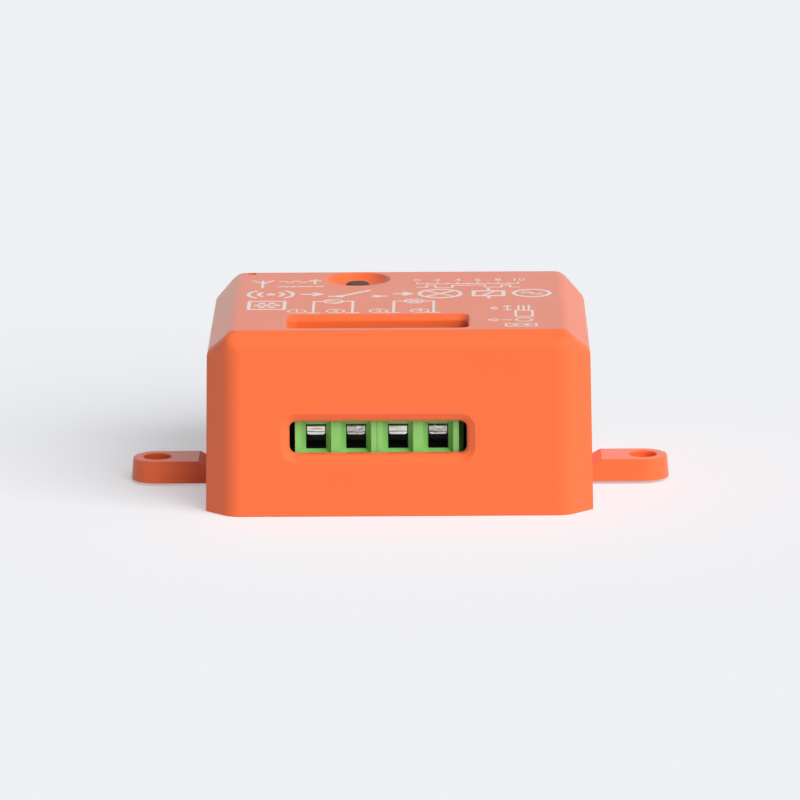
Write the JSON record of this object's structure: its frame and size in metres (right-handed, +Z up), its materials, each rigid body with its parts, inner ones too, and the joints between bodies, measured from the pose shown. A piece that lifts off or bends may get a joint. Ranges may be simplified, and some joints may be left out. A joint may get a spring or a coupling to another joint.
{
  "type": "relay module",
  "caption": "Compact in-line mains relay module for smart homes: moulded box with two mounting ears, screw terminals behind a front slot, and a recessed push button.",
  "frame": {"origin": "middle of the footprint, on the surface that the module rests on", "axes": "+Z up, -Y towards the front with the wire slot, +X to the right, through both ears"},
  "size_m": [0.0686, 0.04, 0.0234],
  "materials": {
    "casing_plastic": "matte moulded",
    "terminal_plastic": "satin moulded",
    "screw_steel": "zinc plated",
    "guard_steel": "tinned",
    "contact_brass": "tinned",
    "board_laminate": "solder mask",
    "radio_laminate": "solder mask",
    "black_plastic": "moulded",
    "button_plastic": "satin moulded",
    "relay_plastic": "moulded",
    "bobbin_plastic": "moulded",
    "coil_copper": "enamelled",
    "soft_iron": "nickel plated",
    "contact_bronze": "rolled",
    "ferrite": "sintered",
    "winding_tape": "tape",
    "can_sleeve": "shrink sleeve",
    "varistor_coat": "epoxy",
    "fuse_coat": "cement",
    "film_case": "moulded",
    "pin_tin": "tinned",
    "shield_steel": "tinned",
    "aerial_sleeve": "sleeve",
    "print_ink": "printed"
  },
  "bodies": {
    "root": {"aerial": "aerial_sleeve", "base_plate": "casing_plastic", "casing": "casing_plastic", "choke_drum": "ferrite", "choke_wire": "coil_copper", "contact_frames_left": "contact_brass", "contact_frames_right": "contact_brass", "film_capacitor": "film_case", "filter_capacitor": "can_sleeve", "fixed_contact": "contact_bronze", "flyback_diode": "black_plastic", "fuse_resistor": "fuse_coat", "input_capacitor": "can_sleeve", "key_base": "black_plastic", "key_cover": "shield_steel", "key_dome": "contact_bronze", "key_legs": "pin_tin", "main_board": "board_laminate", "output_capacitor": "can_sleeve", "power_controller": "black_plastic", "radio_board": "radio_laminate", "radio_chip": "black_plastic", "radio_shield": "shield_steel", "rectifier": "black_plastic", "relay_base": "black_plastic", "relay_bobbin": "bobbin_plastic", "relay_coil": "coil_copper", "relay_core": "soft_iron", "relay_cover": "relay_plastic", "relay_driver": "black_plastic", "relay_terminals": "pin_tin", "relay_yoke": "soft_iron", "terminal_housing_left": "terminal_plastic", "terminal_housing_right": "terminal_plastic", "transformer_bobbin": "black_plastic", "transformer_core": "ferrite", "transformer_winding": "winding_tape", "varistor": "varistor_coat", "voltage_regulator": "black_plastic"},
    "guard_1": {"wire_guard_1": "guard_steel"},
    "screw_1": {"terminal_screw_1": "screw_steel"},
    "guard_2": {"wire_guard_2": "guard_steel"},
    "screw_2": {"terminal_screw_2": "screw_steel"},
    "guard_3": {"wire_guard_3": "guard_steel"},
    "screw_3": {"terminal_screw_3": "screw_steel"},
    "guard_4": {"wire_guard_4": "guard_steel"},
    "screw_4": {"terminal_screw_4": "screw_steel"},
    "button": {"button": "button_plastic"},
    "armature": {"relay_armature": "soft_iron", "contact_blade": "contact_bronze"}
  },
  "joints": [
    {"name": "guard_1_travel", "type": "slide", "parent": "root", "child": "guard_1", "axis": [0, 0, -1], "range_m": [0, 0.0015]},
    {"name": "screw_1_turn", "type": "hinge", "parent": "guard_1", "child": "screw_1", "pos_m": [-0.01037, -0.014, 0.015], "axis": [0, 0, -1], "range_deg": [0, 1200]},
    {"name": "guard_2_travel", "type": "slide", "parent": "root", "child": "guard_2", "axis": [0, 0, -1], "range_m": [0, 0.0015]},
    {"name": "screw_2_turn", "type": "hinge", "parent": "guard_2", "child": "screw_2", "pos_m": [-0.00537, -0.014, 0.015], "axis": [0, 0, -1], "range_deg": [0, 1200]},
    {"name": "guard_3_travel", "type": "slide", "parent": "root", "child": "guard_3", "axis": [0, 0, -1], "range_m": [0, 0.0015]},
    {"name": "screw_3_turn", "type": "hinge", "parent": "guard_3", "child": "screw_3", "pos_m": [-0.00013, -0.014, 0.015], "axis": [0, 0, -1], "range_deg": [0, 1200]},
    {"name": "guard_4_travel", "type": "slide", "parent": "root", "child": "guard_4", "axis": [0, 0, -1], "range_m": [0, 0.0015]},
    {"name": "screw_4_turn", "type": "hinge", "parent": "guard_4", "child": "screw_4", "pos_m": [0.00487, -0.014, 0.015], "axis": [0, 0, -1], "range_deg": [0, 1200]},
    {"name": "button_press", "type": "slide", "parent": "root", "child": "button", "axis": [0, 0, -1], "range_m": [0, 0.0003], "stiffness_N_per_m": 5000, "springref_m": -0.00005, "deforming": ["key_dome"]},
    {"name": "armature_tip", "type": "hinge", "parent": "root", "child": "armature", "pos_m": [0.01585, 0.0079, 0.01469], "axis": [1, 0, 0], "range_deg": [0, 3], "stiffness_Nm_per_rad": 0.03, "springref_deg": -2.29}
  ],
  "couplings": [
    {"joint": "screw_1_turn", "follows": "guard_1_travel", "rad_per_m": 13963},
    {"joint": "screw_2_turn", "follows": "guard_2_travel", "rad_per_m": 13963},
    {"joint": "screw_3_turn", "follows": "guard_3_travel", "rad_per_m": 13963},
    {"joint": "screw_4_turn", "follows": "guard_4_travel", "rad_per_m": 13963}
  ]
}
